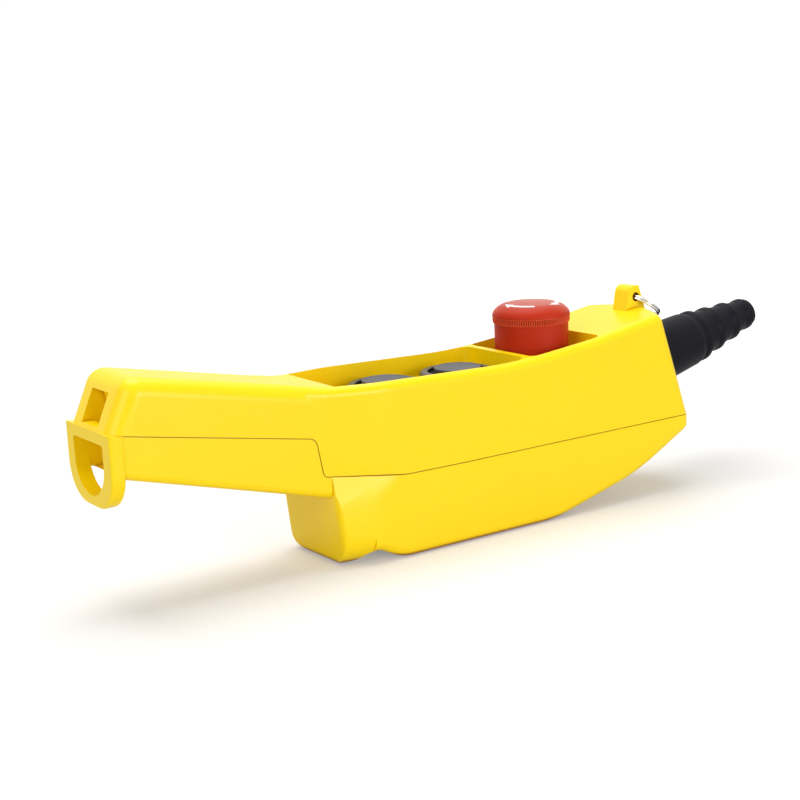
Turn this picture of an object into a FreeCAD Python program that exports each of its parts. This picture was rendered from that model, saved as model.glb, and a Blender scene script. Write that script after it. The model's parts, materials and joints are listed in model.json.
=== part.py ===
import FreeCAD, Part
import math
import os

os.makedirs("parts", exist_ok=True)

# Hoist pendant control, millimetres. It lies on its belly: +X runs to the cable, +Z is the
# button side, and the origin is on the flat of the belly, under the pair of push buttons.

# Moulding
WALL = 2.6
HEAD_HALF = 26.1
HANDLE_HALF = 19.8
EDGE_ROUND = 4.2
GRIP_EDGE_ROUND = 7.0
BELLY_ROUND = 3.8
GRIP_ROUND = 3.5
FIT = 0.1
OUTSIDE = 60.0

# Side profile of the housing
RIM_DIP = (24.0, 75.2)
RIM_ROUND = 250.0
RAMP_MID = (72.0, 79.9)
TOP_END = (114.0, 87.0)
NECK_TOP = (-71.5, 77.7)
NECK_ROUND = 70.0
GRIP_TOP = (-156.2, 94.4)
GRIP_END_X = -165.7
GRIP_END_ROUND = 7.8
SEAM_Z = 36.0
SEAM_EASE = (-37.0, 36.3)
SEAM_STEP_LOW = (-73.6, 40.4)
SEAM_STEP_HIGH = (-76.6, 57.1)
SEAM_END_Z = 73.4
SEAM_STEP_ROUNDS = (4.0, 2.8)
SEAM_BEND = 40.0
SEAM_LEVEL_AFTER = 30.0
GRIP_FLOOR_END = (-166.5, 56.8)
GRIP_FLOOR_NECK = (-69.6, 30.5)
BUMP_X = -66.3
BUMP_REAR_X = -60.5
BUMP_TOE_ROUND = 6.0
NOTCH = (-53.3, 7.0)
NOTCH_ROUND = 7.0
GRIP_LAP = 4.0
BELLY_START = -38.5
BELLY_START_ROUND = 20.0
BELLY_END = 45.3
BELLY_END_ROUND = 70.0
BELLY_BEND = (95.7, 12.8)
BELLY_BEND_ROUND = 120.0
BELLY_RISE = (136.0, 33.4)

# Plan of the housing
FLARE_START = -68.0
FLARE_END = -37.0
FLARE_ROUND = 40.0
FLARE_LEAN = 0.25
BUMP_FRONT_ROUND = 4.5
BUMP_UNDER_ROUND = 14.0
SHOULDER_LOW_Z = 27.0
SHOULDER_HIGH_Z = 41.5
SHOULDER_SHIFT = 15.7
GROOVE_HIGH = 0.4
GROOVE_DEPTH = 0.5
END_X = 135.0
END_BOW = 9.2
END_LEAN = 0.333

# Recesses round the controls
FLOOR_Z = 61.0
RECESS_HALF = 22.9
BUTTON_RECESS = (-66.5, 32.0)
STOP_RECESS = (35.0, 75.0)
BUTTON_RECESS_ROUND = 6.0
STOP_RECESS_ROUND = 3.0

# Lanyard eyelet and window at the handle end
LIP_X = -166.5
LIP_DEPTH = 6.0
EYE_HALF = 20.6
EYE_LOW_Z = 42.6
EYE_ROUND = 15.5
EYE_RIM = 4.4
EYE_HOLE_HALF = 13.6
EYE_HOLE_TOP_Z = 68.8
WINDOW_HALF = 7.4
WINDOW_LOW_Z = 74.6
WINDOW_HIGH_Z = 87.3
CHANNEL_HIGH_X = -155.5
CHANNEL_LOW = (-149.0, 57.2)
BULKHEAD_X = -145.8

# Ring lug and split ring
LUG_X = 114.0
LUG_HALF = 4.7
LUG_BASE = 12.4
LUG_TOP_WIDTH = 8.4
LUG_TOP_Z = 97.4
LUG_HOLE_DROP = 5.4
LUG_HOLE_Z = LUG_TOP_Z - LUG_HOLE_DROP
LUG_HOLE = 2.2
RING_RADIUS = 9.5
RING_WIRE = 0.62
RING_HANG = 35.0

# Push buttons
BUTTON_X = (-28.0, 10.6)
BUTTON_NAMES = ("lower", "raise")
CAP_RADIUS = 10.5
CAP_TOP_Z = 72.4
CAP_THICK = 2.0
CAP_WALL = 1.5
CAP_SKIRT_Z = 64.0
BUTTON_TRAVEL = 4.0
COLLAR_RADIUS = 17.0
COLLAR_TOP_Z = 71.0
COLLAR_ROUND = 2.6
COLLAR_BORE = 11.0
NECK_RADIUS = 12.6
NECK_BORE = 8.6
NECK_FLOOR_Z = 59.8
NECK_END_Z = 47.0
BOOT_RADIUS = 13.4
BOOT_LOW_Z = 66.5
BOOT_TOP_Z = 69.6
BOOT_GAP = 0.35
ROD_RADIUS = 3.5
PISTON_Z = 56.0
PISTON_THICK = 3.6
NUT_FLATS = 30.0
NUT_THICK = 5.0
THREAD_GAP = 0.06

# Stop control
STOP_X = 53.4
STOP_RIM_Z = 90.6
STOP_RADIUS = 17.75
STOP_DOME = 6.6
STOP_CROWN = 1.7
STOP_CROWN_RADIUS = 13.2
STOP_BAND_Z = 87.9
STOP_BAND_RADIUS = 17.15
STOP_SKIRT_RADIUS = 16.85
STOP_SKIRT_Z = 68.5
STOP_WALL = 2.2
STOP_CEILING_Z = 88.0
STOP_HUB = 6.4
STOP_HUB_Z = 80.0
SPIGOT_RADIUS = 3.6
SPIGOT_TOP_Z = 87.3
STEM_RADIUS = 6.1
STEM_LOW_Z = 58.0
STOP_COLLAR_RADIUS = 14.2
STOP_COLLAR_TOP_Z = 64.2
RUNNING_GAP = 0.25

# Contact blocks under the controls
BLOCK_LENGTH = 26.0
BLOCK_HALF = 15.0
BLOCK_LOW_Z = 20.0
LEDGE_HALF = 20.0
CAVITY_HALF_X = 4.6
CAVITY_HALF_Y = 12.0
CAVITY_LOW_Z = 23.0
CAVITY_HIGH_Z = 42.0
STRIP_THICK = 1.0
STRIP_HALF_WIDTH = 3.0
STRIP_INNER = 5.2
STRIP_OUTER = 19.4
MAKE_STRIP_Z = 29.5
BREAK_STRIP_Z = 30.6
BRIDGE_HALF = 9.5
BRIDGE_THICK = 1.2
BRIDGE_HALF_WIDTH = 2.6
CONTACT_RADIUS = 1.5
CONTACT_HIGH = 0.5
CONTACT_GAP = 0.15
TERMINAL_Y = 17.4
TERMINAL_HEAD = 1.9
TERMINAL_HEAD_HIGH = 1.8
TERMINAL_SHANK = 1.1
TERMINAL_DEPTH = 5.0

# Return springs
SPRING_WIRE = 0.8
SPRING_TURNS = 3
BUTTON_SPRING_RADIUS = 6.0
STOP_SPRING_RADIUS = 4.9

# Cable entry
ENTRY_X = 126.2
ENTRY_Z = 60.7
ENTRY_RISE = 11.6
ENTRY_RADIUS = 10.3
SLEEVE_BASE = 15.4
SLEEVE_RING_AT = (31.3, 42.2, 54.2, 65.3)
SLEEVE_RING_RADIUS = (12.1, 10.4, 8.8, 7.3)
SLEEVE_BEAD = 1.0
SLEEVE_WAIST = 0.9
SLEEVE_LENGTH = 69.0
SLEEVE_FLANGE = 13.6
SLEEVE_FLANGE_THICK = 3.0
SLEEVE_NECK_REACH = 14.0
SLEEVE_FLANGE_REACH = 20.0
SLEEVE_BORE_REACH = 30.0
SLEEVE_LAP = 12.0
CABLE_RADIUS = 5.0
CLAMP_X = 98.0
CLAMP_LENGTH = 9.0
CLAMP_THICK = 4.0
CLAMP_RIB = 2.5
CLAMP_RIB_WALL = 2.4
CLAMP_SCREW_Y = 12.5
CLAMP_SCREW_HEAD = 3.0
CLAMP_SCREW_HEAD_HIGH = 2.2
CLAMP_SCREW_BITE = 8.0
CLAMP_POST = 4.2
CRADLE_THICK = 3.0
CRADLE_LIFT = 3.0

# Housing screws
SCREW_SPOTS = ((88.0, 18.6), (88.0, -18.6), (-53.0, 17.6), (-53.0, -17.6), (-100.0, 0.0), (-136.0, 0.0))
SCREW_SHANK = 1.75
SCREW_HEAD = 3.4
SCREW_HEAD_HIGH = 2.4
SCREW_GRIP = 12.0
SCREW_BITE = 11.0
BOSS_RADIUS = 4.4
BOSS_PILOT = 1.5
TUBE_RADIUS = 5.4
TUBE_BORE = 3.7

# Seal between the shells
SEAL_INSET = 0.75
SEAL_WIDTH = 1.1
SEAL_DEPTH = 1.2


def spot(a, b, plane, at):
    """A point whose two drawing coordinates lie in the named plane."""
    if plane == "xz":
        return FreeCAD.Vector(a, at, b)
    if plane == "xy":
        return FreeCAD.Vector(a, b, at)
    return FreeCAD.Vector(at, a, b)


def outline(corners, plane="xz", at=0.0):
    """Closed wire through (a, b) or (a, b, radius) corners; a radius makes a tangent arc."""
    points = [spot(c[0], c[1], plane, at) for c in corners]
    radii = [c[2] if len(c) > 2 else 0.0 for c in corners]
    count = len(points)
    halves = [(points[i - 1] - p).getAngle(points[(i + 1) % count] - p) / 2.0 for i, p in enumerate(points)]
    reaches = [r / math.tan(half) for r, half in zip(radii, halves)]
    room = []
    for i in range(count):
        wanted = reaches[i - 1] + reaches[i]
        room.append(min(1.0, 0.98 * points[i - 1].distanceToPoint(points[i]) / wanted) if wanted else 1.0)
    ends = []
    for i, corner in enumerate(points):
        reach = reaches[i] * min(room[i], room[(i + 1) % count])
        if reach < 1e-6:
            ends.append((corner, None, corner))
            continue
        before = (points[i - 1] - corner).normalize()
        after = (points[(i + 1) % count] - corner).normalize()
        radius = reach * math.tan(halves[i])
        middle = (before + after).normalize() * (radius / math.sin(halves[i]) - radius)
        ends.append((corner + before * reach, corner + middle, corner + after * reach))
    edges = []
    for i, (start, middle, end) in enumerate(ends):
        last = ends[i - 1][2]
        if last.distanceToPoint(start) > 1e-6:
            edges.append(Part.LineSegment(last, start).toShape())
        if middle is not None:
            edges.append(Part.Arc(start, middle, end).toShape())
    return Part.Wire(edges)


def prism(corners, plane, start, end):
    """The outline drawn at start and carried straight to end along the plane's normal."""
    return Part.Face(outline(corners, plane, start)).extrude(spot(0, 0, plane, end - start))


def block(x0, x1, y0, y1, z0, z1):
    """A box between two corners."""
    return Part.makeBox(x1 - x0, y1 - y0, z1 - z0, FreeCAD.Vector(x0, y0, z0))


def turned(corners, x, y=0.0):
    """A profile of (radius, z) corners spun round the upright axis through x, y."""
    moved = [(x + c[0],) + tuple(c[1:]) for c in corners]
    face = Part.Face(outline(moved, "xz", y))
    return face.revolve(FreeCAD.Vector(x, y, 0), FreeCAD.Vector(0, 0, 1), 360)


def rod(radius, low, high, x, y=0.0):
    """An upright round bar."""
    return Part.makeCylinder(radius, high - low, FreeCAD.Vector(x, y, low))


def joined(shapes):
    """All the shapes fused into one clean solid."""
    result = shapes[0].multiFuse(shapes[1:]).removeSplitter()
    return result.Solids[0] if len(result.Solids) == 1 else result


def surface_normal(face, edge_middle):
    """The outward normal of a face at a point on its edge."""
    u, v = face.Surface.parameter(edge_middle)
    return face.normalAt(u, v)


def sharp_edges(solid, wanted):
    """The edges where two faces meet at more than 15 degrees and whose middle is wanted."""
    faces_of = {}
    for face in solid.Faces:
        for edge in face.Edges:
            faces_of.setdefault(edge.hashCode(), []).append((edge, face))
    chosen = []
    for pairs in faces_of.values():
        if len(pairs) != 2:
            continue
        edge = pairs[0][0]
        middle = edge.valueAt((edge.FirstParameter + edge.LastParameter) / 2.0)
        turn = surface_normal(pairs[0][1], middle).getAngle(surface_normal(pairs[1][1], middle))
        if turn > math.radians(15) and wanted(edge.BoundBox):
            chosen.append(edge)
    return chosen


def grip_top_z(x):
    """Height of the handle's top at x."""
    slope = (GRIP_TOP[1] - NECK_TOP[1]) / (GRIP_TOP[0] - NECK_TOP[0])
    return NECK_TOP[1] + slope * (x - NECK_TOP[0])


def grip_floor_z(x):
    """Height of the handle's underside at x."""
    slope = (GRIP_FLOOR_END[1] - GRIP_FLOOR_NECK[1]) / (GRIP_FLOOR_END[0] - GRIP_FLOOR_NECK[0])
    return GRIP_FLOOR_NECK[1] + slope * (x - GRIP_FLOOR_NECK[0])


def seam_z(x):
    """Height of the parting line at x, away from its step."""
    if x < SEAM_STEP_HIGH[0]:
        slope = (SEAM_END_Z - SEAM_STEP_HIGH[1]) / (LIP_X - SEAM_STEP_HIGH[0])
        return SEAM_STEP_HIGH[1] + slope * (x - SEAM_STEP_HIGH[0])
    if x < SEAM_EASE[0]:
        share = (x - SEAM_STEP_LOW[0]) / (SEAM_EASE[0] - SEAM_STEP_LOW[0])
        return SEAM_STEP_LOW[1] + share * (SEAM_EASE[1] - SEAM_STEP_LOW[1])
    return SEAM_Z


def ceiling_z(x):
    """Height of the cavity's ceiling at x, under the recess floors or the top wall."""
    if BUTTON_RECESS[0] - WALL < x < STOP_RECESS[1] + WALL:
        return FLOOR_Z - WALL
    if x < NECK_TOP[0]:
        return grip_top_z(x) - WALL
    slope = (TOP_END[1] - RAMP_MID[1]) / (TOP_END[0] - RAMP_MID[0])
    return RAMP_MID[1] + slope * (x - RAMP_MID[0]) - WALL


def belly_z(x):
    """Height of the belly's skin at x."""
    if x > BELLY_BEND[0]:
        slope = (BELLY_RISE[1] - BELLY_BEND[1]) / (BELLY_RISE[0] - BELLY_BEND[0])
        return BELLY_BEND[1] + slope * (x - BELLY_BEND[0])
    if x > BELLY_END:
        return BELLY_BEND[1] * (x - BELLY_END) / (BELLY_BEND[0] - BELLY_END)
    if x < GRIP_FLOOR_NECK[0]:
        return grip_floor_z(x)
    return 0.0


def parting(side):
    """The half space above (1) or below (-1) the stepped parting line."""
    ends = LIP_X - OUTSIDE
    slope = (SEAM_END_Z - SEAM_STEP_HIGH[1]) / (LIP_X - SEAM_STEP_HIGH[0])
    line = [
        (ends, SEAM_END_Z + slope * (ends - LIP_X)),
        SEAM_STEP_HIGH + (SEAM_STEP_ROUNDS[0],),
        SEAM_STEP_LOW + (SEAM_STEP_ROUNDS[1],),
        SEAM_EASE + (SEAM_BEND,),
        (BELLY_START + SEAM_LEVEL_AFTER, SEAM_Z, SEAM_BEND),
        (END_X + OUTSIDE, SEAM_Z),
    ]
    far = side * 3.0 * OUTSIDE
    return line + [(END_X + OUTSIDE, SEAM_Z + far), (ends, SEAM_Z + far)]


def body_side(inset=0.0):
    """The whole side profile, or the same drawn inset from it, as a prism across the housing."""
    corners = [
        RIM_DIP + (RIM_ROUND,),
        RAMP_MID + (RIM_ROUND,),
        (END_X + OUTSIDE, ceiling_z(END_X + OUTSIDE) + WALL),
        (END_X + OUTSIDE, belly_z(END_X + OUTSIDE)),
        BELLY_BEND + (BELLY_BEND_ROUND,),
        (BELLY_END, 0.0, BELLY_END_ROUND),
        (BELLY_START, 0.0, BELLY_START_ROUND),
        NOTCH + (NOTCH_ROUND,),
        (BUMP_REAR_X, 0.0, BUMP_TOE_ROUND),
        (BUMP_X, 0.0, BUMP_TOE_ROUND),
        GRIP_FLOOR_NECK,
        GRIP_FLOOR_END,
        (GRIP_END_X, seam_z(GRIP_END_X)),
        GRIP_TOP + (GRIP_END_ROUND,),
        NECK_TOP + (NECK_ROUND,),
    ]
    face = Part.Face(outline(corners, "xz", -OUTSIDE))
    if inset:
        face = Part.Face(face.makeOffset2D(-inset).OuterWire)
    return face.extrude(FreeCAD.Vector(0, 2.0 * OUTSIDE, 0))


def flared_plan(inset=0.0, shift=0.0, level=0.0):
    """Plan of the housing: a narrow handle that flares out to the head, open at both ends."""
    side = [
        (LIP_X - OUTSIDE, HANDLE_HALF - inset),
        (FLARE_START - shift, HANDLE_HALF - inset),
        (FLARE_END - shift, HEAD_HALF - inset, FLARE_ROUND),
        (END_X + OUTSIDE, HEAD_HALF - inset),
    ]
    mirrored = [(c[0], -c[1]) + tuple(c[2:]) for c in reversed(side)]
    return outline(side + mirrored, "xy", level)


def head_plan(inset):
    """Plan of the head alone, whose flared sides run on inwards until they lie inside the handle."""
    slope = (HEAD_HALF - HANDLE_HALF) / (FLARE_END - FLARE_START)
    nose = FLARE_START - HEAD_HALF / 2.0
    side = [
        (nose, HANDLE_HALF - inset + slope * (nose - FLARE_START)),
        (FLARE_END, HEAD_HALF - inset, FLARE_ROUND),
        (END_X + OUTSIDE, HEAD_HALF - inset),
    ]
    mirrored = [(c[0], -c[1]) + tuple(c[2:]) for c in reversed(side)]
    return outline(side + mirrored, "xy", 0.0)


def end_limit(inset, lean):
    """Everything on the handle's side of the bowed cable end; lean tips it back above the seam."""
    half = HEAD_HALF + 4.0
    bow = END_BOW * (half / HEAD_HALF) ** 2
    nose = END_X - inset
    arc = Part.Arc(
        FreeCAD.Vector(nose - bow, -half, SEAM_Z),
        FreeCAD.Vector(nose, 0, SEAM_Z),
        FreeCAD.Vector(nose - bow, half, SEAM_Z),
    ).toShape()
    back = LIP_X - 2.0 * OUTSIDE
    corners = [arc.Vertexes[-1].Point, FreeCAD.Vector(back, half, SEAM_Z)]
    corners += [FreeCAD.Vector(back, -half, SEAM_Z), arc.Vertexes[0].Point]
    sides = [Part.LineSegment(a, b).toShape() for a, b in zip(corners, corners[1:])]
    face = Part.Face(Part.Wire([arc] + sides))
    height = 1.5 * OUTSIDE
    up = face.extrude(FreeCAD.Vector(-lean * height, 0, height))
    if lean:
        return up
    down = face.extrude(FreeCAD.Vector(0, 0, -height))
    return up.fuse(down).removeSplitter()


def leaned(wire, low, high):
    """A plan drawn at the seam's height, carried from low to high; its flare leans back with height."""
    face = Part.Face(wire)
    face.translate(FreeCAD.Vector(FLARE_LEAN * (SEAM_Z - low), 0, low))
    return face.extrude(FreeCAD.Vector(FLARE_LEAN * (low - high), 0, high - low))


def plan_prism(inset=0.0):
    """The flared plan carried up through the whole height."""
    return leaned(flared_plan(inset), -OUTSIDE, 3.0 * OUTSIDE)


def lean_limit(inset):
    """The leaning cable end of the front shell, carried a little below the seam."""
    drop = WALL * 3.0
    limit = end_limit(inset / math.cos(math.atan(END_LEAN)), END_LEAN)
    lower = limit.copy()
    lower.translate(FreeCAD.Vector(END_LEAN * drop, 0, -drop))
    return limit.fuse(lower).removeSplitter()


def upper_body(inset=0.0):
    """The front shell's form: a handle with large soft edges run into a head with smaller ones."""
    low = SEAM_Z - WALL
    side = body_side(inset)
    half = HANDLE_HALF - inset
    grip = side.common(block(LIP_X - OUTSIDE, BUTTON_RECESS[0] - 2.0, -half, half, low, 3.0 * OUTSIDE))
    edges = sharp_edges(grip, lambda box: grip_soft_edge(box, half))
    grip = grip.makeFillet(GRIP_EDGE_ROUND - inset, edges)
    head = side.common(leaned(head_plan(inset), 0.0, 3.0 * OUTSIDE))
    head = head.common(lean_limit(inset))
    head = head.common(block(LIP_X - OUTSIDE, END_X + OUTSIDE, -OUTSIDE, OUTSIDE, low, 3.0 * OUTSIDE))
    if inset == 0.0:
        nose = FLARE_START - HEAD_HALF / 2.0 - FLARE_LEAN * (NECK_TOP[1] - SEAM_Z)
        edges = sharp_edges(head, lambda box: box.ZMax > SEAM_Z and box.XMax > nose + HEAD_HALF)
        head = head.makeFillet(EDGE_ROUND, edges)
    return joined([grip, head])


def grip_soft_edge(box, half):
    """Whether a box is that of one of the handle's long top edges or upright end edges."""
    on_side = abs(max(abs(box.YMin), abs(box.YMax)) - half) < 0.01 and box.YLength < 0.01
    above = box.ZMax > SEAM_END_Z - 0.1 and box.XMin < NECK_TOP[0] + OUTSIDE
    top = box.ZMin > seam_z(box.XMax) + 2.0
    end = box.XMax < GRIP_TOP[0] + GRIP_END_ROUND and box.ZMax > SEAM_END_Z
    return on_side and above and (top or end)


def belly_body():
    """The deep part of the rear shell: finger bump, notch, flat belly and rising end."""
    top = SHOULDER_HIGH_Z
    side = body_side()
    box = block(NOTCH[0], END_X + OUTSIDE, -HEAD_HALF, HEAD_HALF, -1.0, top)
    raw = side.common(box).common(end_limit(0.0, 0.0))
    edges = sharp_edges(raw, lambda b: b.ZMin < top - 0.5 and b.XMax > NOTCH[0] + 0.5)
    deep = raw.makeFillet(BELLY_ROUND, edges)
    bump_box = block(GRIP_FLOOR_NECK[0], NOTCH[0], -HEAD_HALF, HEAD_HALF, -1.0, top)
    bump = side.common(bump_limit(0.0)).common(bump_box)
    low_wire = flared_plan(shift=SHOULDER_SHIFT, level=SHOULDER_LOW_Z)
    shoulder = Part.makeLoft([low_wire, flared_plan(level=top)], True, True)
    return deep.fuse(bump).common(shoulder.fuse(foot_prism(0.0)))


def foot_prism(inset):
    """The plan of the belly below its shoulder, whose flare lies further forward."""
    face = Part.Face(flared_plan(inset, SHOULDER_SHIFT, -OUTSIDE))
    return face.extrude(FreeCAD.Vector(0, 0, OUTSIDE + SHOULDER_LOW_Z))


def bump_limit(inset):
    """Limits of the finger bump: a leaning front, flared sides and large rounded edges under them."""
    slope = (HEAD_HALF - HANDLE_HALF) / (FLARE_END - FLARE_START)
    front = BUMP_X + inset
    front_half = HANDLE_HALF + slope * (front - FLARE_START + SHOULDER_SHIFT) - inset
    side = [
        (front, front_half, BUMP_FRONT_ROUND - inset),
        (FLARE_END - SHOULDER_SHIFT, HEAD_HALF - inset),
        (OUTSIDE, HEAD_HALF - inset),
    ]
    mirrored = [(c[0], -c[1]) + tuple(c[2:]) for c in reversed(side)]
    top = 2.0 * OUTSIDE
    lean = (GRIP_FLOOR_NECK[0] - BUMP_X) / GRIP_FLOOR_NECK[1]
    limit = Part.Face(outline(side + mirrored, "xy", 0.0)).extrude(FreeCAD.Vector(lean * top, 0, top))
    under = BUMP_UNDER_ROUND - inset
    corners = [(-top, top), (0.0, top), (0.0, inset, under), (-top, inset)]
    edge = prism(corners, "yz", -top, top)
    edge.rotate(FreeCAD.Vector(0, 0, 0), FreeCAD.Vector(0, 0, 1), math.degrees(math.atan(slope)))
    edge.translate(FreeCAD.Vector(front, front_half, 0))
    other = edge.mirror(FreeCAD.Vector(0, 0, 0), FreeCAD.Vector(0, 1, 0))
    return limit.common(edge).common(other)


def eyelet():
    """The lanyard eyelet: a lip across the handle end that carries a wide loop under it."""
    top = SEAM_END_Z + WALL
    corners = [
        (-EYE_HALF, top), (-EYE_HALF, EYE_LOW_Z, EYE_ROUND),
        (EYE_HALF, EYE_LOW_Z, EYE_ROUND), (EYE_HALF, top),
    ]
    plate = prism(corners, "yz", LIP_X, LIP_X + LIP_DEPTH)
    return plate.makeFillet(1.2, sharp_edges(plate, lambda b: b.ZMin < SEAM_END_Z and b.XLength < 0.01))


def eyelet_hole():
    """The D-shaped hole of the eyelet."""
    low = EYE_LOW_Z + EYE_RIM
    round_low = EYE_ROUND - 1.0
    corners = [(-EYE_HOLE_HALF, EYE_HOLE_TOP_Z, 1.5), (EYE_HOLE_HALF, EYE_HOLE_TOP_Z, 1.5)]
    corners += [(EYE_HOLE_HALF, low, round_low), (-EYE_HOLE_HALF, low, round_low)]
    return prism(corners, "yz", LIP_X - 1.0, LIP_X + LIP_DEPTH + FIT)


def channel(half, low_z, high_z):
    """The strap's way behind the lip, from the window down to the eyelet, with a leaning back."""
    back = [(LIP_X + LIP_DEPTH, low_z), (CHANNEL_LOW[0], low_z), (CHANNEL_LOW[0], CHANNEL_LOW[1])]
    back += [(CHANNEL_HIGH_X, WINDOW_HIGH_Z), (LIP_X + LIP_DEPTH, WINDOW_HIGH_Z)]
    whole = prism(back, "xz", -half, half)
    return whole.common(block(LIP_X - 1.0, 0.0, -half, half, low_z, high_z))


def rear_body():
    """The rear shell's outer form: handle half, belly and eyelet."""
    inside = NOTCH[0] - GRIP_LAP
    grip_box = block(LIP_X + 1.0, inside, -HANDLE_HALF, HANDLE_HALF, SHOULDER_LOW_Z, 2.0 * OUTSIDE)
    grip = body_side().common(grip_box)
    high = SEAM_END_Z + WALL
    grip = grip.common(block(LIP_X, 0.0, -OUTSIDE, OUTSIDE, 0.0, high))
    edges = sharp_edges(
        grip, lambda b: b.YLength < 1.0 and b.ZMin < seam_z(b.XMin) and b.XMax < inside - 1.0
        and (b.XLength > 40.0 or b.XMax < GRIP_END_X + 4.0))
    grip = grip.makeFillet(GRIP_ROUND, edges)
    return joined([grip, belly_body(), eyelet()])


def seal_ring(gap=0.0):
    """The seal that follows the seam inside the wall, or its groove when a gap is given."""
    outer = SEAL_INSET - gap
    inner = SEAL_INSET + SEAL_WIDTH + gap
    middle = WALL / 2.0 - SEAL_INSET
    start = BULKHEAD_X - middle - SEAL_INSET
    ring = plan_prism(outer).common(end_limit(outer, 0.0)).common(beyond(start + outer))
    hole = plan_prism(inner).common(end_limit(inner, 0.0)).common(beyond(start + inner))
    return ring.cut(hole).common(seam_strip(-1, SEAL_DEPTH + gap))


def beyond(x):
    """Everything on the cable's side of x."""
    return block(x, END_X + OUTSIDE, -OUTSIDE, OUTSIDE, -OUTSIDE, 3.0 * OUTSIDE)


def seam_strip(side, depth):
    """A strip of even depth along the seam, above (1) or below (-1) it."""
    face = Part.Face(outline(parting(side), "xz", -OUTSIDE))
    rest = Part.Face(face.makeOffset2D(-depth).OuterWire)
    across = FreeCAD.Vector(0, 2.0 * OUTSIDE, 0)
    return face.extrude(across).cut(rest.extrude(across))


def seam_groove():
    """The shadow line along the seam, cut into the outer edge of the front shell."""
    keep = plan_prism(GROOVE_DEPTH).common(lean_limit(GROOVE_DEPTH))
    return seam_strip(1, GROOVE_HIGH).cut(keep)


def front_shell():
    """Button side of the housing with its recesses, lug, bosses and cable entry."""
    body = upper_body()
    lug = prism(
        [
            (LUG_X - LUG_BASE / 2.0 - 1.0, TOP_END[1] - 6.0),
            (LUG_X + LUG_BASE / 2.0 + 0.6, TOP_END[1] - 6.0),
            (LUG_X + LUG_TOP_WIDTH / 2.0, LUG_TOP_Z, LUG_TOP_WIDTH / 2.0 - 0.2),
            (LUG_X - LUG_TOP_WIDTH / 2.0, LUG_TOP_Z, LUG_TOP_WIDTH / 2.0 - 0.2),
        ], "xz", -LUG_HALF, LUG_HALF)
    body = body.fuse(lug.common(lean_limit(-1.5)))
    inner = upper_body(WALL)
    under = block(BUTTON_RECESS[0] - WALL, STOP_RECESS[1] + WALL, -OUTSIDE, OUTSIDE, FLOOR_Z - WALL, OUTSIDE * 2)
    back = channel_wall(WINDOW_HALF)
    bulkhead = block(BULKHEAD_X - WALL / 2, BULKHEAD_X + WALL / 2, -OUTSIDE, OUTSIDE, 0, OUTSIDE * 2)
    inner = inner.cut(under).cut(back).cut(bulkhead)
    posts = []
    for x, y in SCREW_SPOTS:
        posts.append(rod(BOSS_RADIUS, seam_z(x), ceiling_z(x) + 1.0, x, y))
    for side in (-1, 1):
        post = rod(CLAMP_POST, clamp_seat_z(), ceiling_z(CLAMP_X) + 1.0, CLAMP_X, side * CLAMP_SCREW_Y)
        posts.append(post)
    cradle = block(CLAMP_X - CRADLE_THICK / 2, CLAMP_X + CRADLE_THICK / 2, -CLAMP_SCREW_Y, CLAMP_SCREW_Y,
                   clamp_seat_z() + CRADLE_LIFT, ceiling_z(CLAMP_X) + 1.0)
    posts.append(cradle.cut(along_entry(CABLE_RADIUS + 3 * FIT, -OUTSIDE, 0.0)))
    inner = inner.cut(posts[0].multiFuse(posts[1:]))
    body = body.cut(inner)
    cuts = [recess(BUTTON_RECESS, BUTTON_RECESS_ROUND), recess(STOP_RECESS, STOP_RECESS_ROUND)]
    for x in BUTTON_X + (STOP_X,):
        cuts.append(rod(NECK_RADIUS + FIT, FLOOR_Z - WALL - 1.0, FLOOR_Z + 1.0, x))
    for x, y in SCREW_SPOTS:
        cuts.append(rod(BOSS_PILOT, seam_z(x) - 1.0, seam_z(x) + SCREW_BITE + 1.0, x, y))
    for side in (-1, 1):
        cuts.append(rod(TERMINAL_SHANK, clamp_seat_z() - 1.0, clamp_seat_z() + CLAMP_SCREW_BITE + 1.0,
                        CLAMP_X, side * CLAMP_SCREW_Y))
    hole = Part.makeCylinder(LUG_HOLE, 4 * LUG_HALF, FreeCAD.Vector(LUG_X, -2 * LUG_HALF, LUG_HOLE_Z),
                             FreeCAD.Vector(0, 1, 0))
    cuts.append(hole)
    cuts.append(along_entry(ENTRY_RADIUS + FIT, -14.0, 12.0))
    window = block(GRIP_END_X - 10.0, LIP_X + LIP_DEPTH, -WINDOW_HALF, WINDOW_HALF, WINDOW_LOW_Z, WINDOW_HIGH_Z)
    cuts.append(window.fuse(channel(WINDOW_HALF, SEAM_Z, WINDOW_HIGH_Z)))
    body = body.cut(cuts[0].multiFuse(cuts[1:]))
    return body.common(prism(parting(1), "xz", -OUTSIDE, OUTSIDE)).cut(seam_groove())


def channel_wall(half):
    """The wall that closes the strap's way off from the inside of the handle."""
    outside = LIP_X - OUTSIDE
    corners = [(outside, 0.0), (CHANNEL_LOW[0] + WALL, 0.0), (CHANNEL_LOW[0] + WALL, CHANNEL_LOW[1])]
    corners += [(CHANNEL_HIGH_X + WALL, WINDOW_HIGH_Z + WALL), (outside, WINDOW_HIGH_Z + WALL)]
    return prism(corners, "xz", -half - WALL, half + WALL)


def recess(span, radius):
    """One open recess of the button side, straight down to the common floor."""
    corners = [(span[0], -RECESS_HALF, radius), (span[1], -RECESS_HALF, radius)]
    corners += [(span[1], RECESS_HALF, radius), (span[0], RECESS_HALF, radius)]
    return prism(corners, "xy", FLOOR_Z, 2.0 * OUTSIDE).common(plan_prism(HEAD_HALF - RECESS_HALF))


def screw_seat_z(x):
    """Height at which the head of a housing screw bears on the rear shell."""
    return seam_z(x) - SCREW_GRIP


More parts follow.
